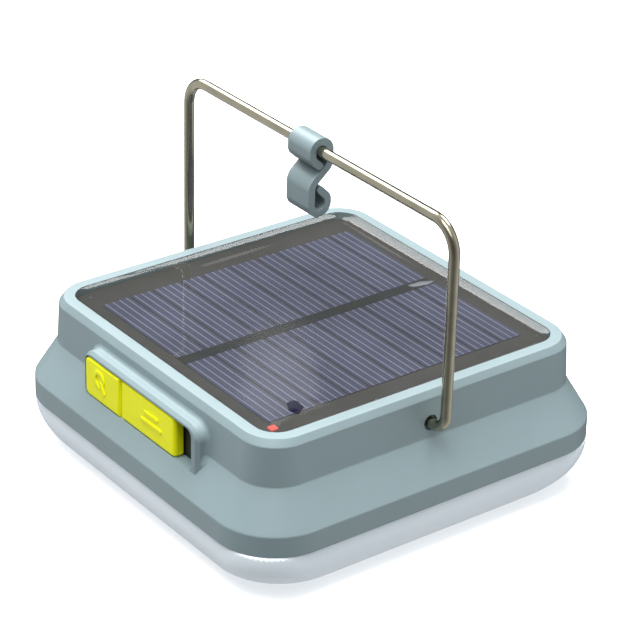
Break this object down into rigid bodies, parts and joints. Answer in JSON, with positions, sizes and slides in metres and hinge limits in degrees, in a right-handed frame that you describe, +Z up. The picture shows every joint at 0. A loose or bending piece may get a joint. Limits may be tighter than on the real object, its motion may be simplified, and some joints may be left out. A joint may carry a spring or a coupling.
{
  "type": "solar lantern",
  "caption": "Square solar lantern with a solar panel on top, a frosted diffuser below, a swinging wire bail with a hanging hook, and a rubber-covered switch and charging ports.",
  "frame": {"origin": "middle of the flat foot of the diffuser, on the surface that the lantern stands on", "axes": "+Z up, -Y is the side with the switch and the ports, X is the line that the bail pivots about"},
  "size_m": [0.121, 0.12, 0.0993],
  "materials": {
    "shell_plastic": "fine satin grey-green",
    "hook_plastic": "satin grey-green",
    "frosted_plastic": "frosted white",
    "seal_rubber": "matt black",
    "yellow_rubber": "satin yellow-green",
    "silicon_cell": "dark with silver fingers",
    "dark_strip": "dark",
    "panel_laminate": "dark brown",
    "clear_resin": "clear and glossy",
    "red_led": "red lens",
    "bail_wire": "nickel plated wire",
    "black_plastic": "black",
    "socket_steel": "plated sheet",
    "screw_steel": "zinc plated",
    "white_board": "white solder mask",
    "white_plastic": "white",
    "lamp_phosphor": "yellow phosphor",
    "green_board": "green solder mask",
    "cell_wrap": "blue sleeve"
  },
  "bodies": {
    "body": {"bail_bush_left": "shell_plastic", "bail_bush_right": "shell_plastic", "battery_cell": "cell_wrap", "battery_cradle": "black_plastic", "charge_led": "red_led", "diffuser": "frosted_plastic", "hinge_web": "yellow_rubber", "lamp_board": "white_board", "lamp_leds": "lamp_phosphor", "lamp_screws": "screw_steel", "main_board": "green_board", "main_board_screws": "screw_steel", "micro_usb_shell": "socket_steel", "micro_usb_tongue": "black_plastic", "panel_board": "panel_laminate", "panel_resin": "clear_resin", "panel_strip": "dark_strip", "port_plate": "black_plastic", "reflector": "white_plastic", "seal_ring": "seal_rubber", "solar_cell_left_1": "silicon_cell", "solar_cell_left_10": "silicon_cell", "solar_cell_left_2": "silicon_cell", "solar_cell_left_3": "silicon_cell", "solar_cell_left_4": "silicon_cell", "solar_cell_left_5": "silicon_cell", "solar_cell_left_6": "silicon_cell", "solar_cell_left_7": "silicon_cell", "solar_cell_left_8": "silicon_cell", "solar_cell_left_9": "silicon_cell", "solar_cell_right_1": "silicon_cell", "solar_cell_right_10": "silicon_cell", "solar_cell_right_2": "silicon_cell", "solar_cell_right_3": "silicon_cell", "solar_cell_right_4": "silicon_cell", "solar_cell_right_5": "silicon_cell", "solar_cell_right_6": "silicon_cell", "solar_cell_right_7": "silicon_cell", "solar_cell_right_8": "silicon_cell", "solar_cell_right_9": "silicon_cell", "switch_body": "black_plastic", "top_housing": "shell_plastic", "usb_a_shell": "socket_steel", "usb_a_tongue": "black_plastic"},
    "bail": {"bail": "bail_wire", "bail_retainer_left": "bail_wire", "bail_retainer_right": "bail_wire"},
    "hook": {"hook": "hook_plastic"},
    "power_button": {"power_button": "yellow_rubber"},
    "switch_plunger": {"switch_plunger": "black_plastic"},
    "usb_cover": {"usb_cover": "yellow_rubber"}
  },
  "joints": [
    {"name": "bail_pivot", "type": "hinge", "parent": "body", "child": "bail", "pos_m": [0, 0, 0.03705], "axis": [1, 0, 0], "range_deg": [-72, 72]},
    {"name": "hook_swing", "type": "hinge", "parent": "bail", "child": "hook", "pos_m": [-0.002, 0, 0.0956], "axis": [1, 0, 0], "range_deg": [-150, 150]},
    {"name": "button_press", "type": "slide", "parent": "body", "child": "power_button", "axis": [0, 1, 0], "range_m": [0, 0.0005], "stiffness_N_per_m": 1500},
    {"name": "plunger_press", "type": "slide", "parent": "body", "child": "switch_plunger", "axis": [0, 1, 0], "range_m": [0, 0.0005]},
    {"name": "flap_hinge", "type": "hinge", "parent": "body", "child": "usb_cover", "pos_m": [-0.008, -0.0559, 0.0335], "axis": [0, 0, -1], "range_deg": [0, 105]}
  ],
  "couplings": [
    {"joint": "plunger_press", "follows": "button_press", "ratio": 1}
  ]
}
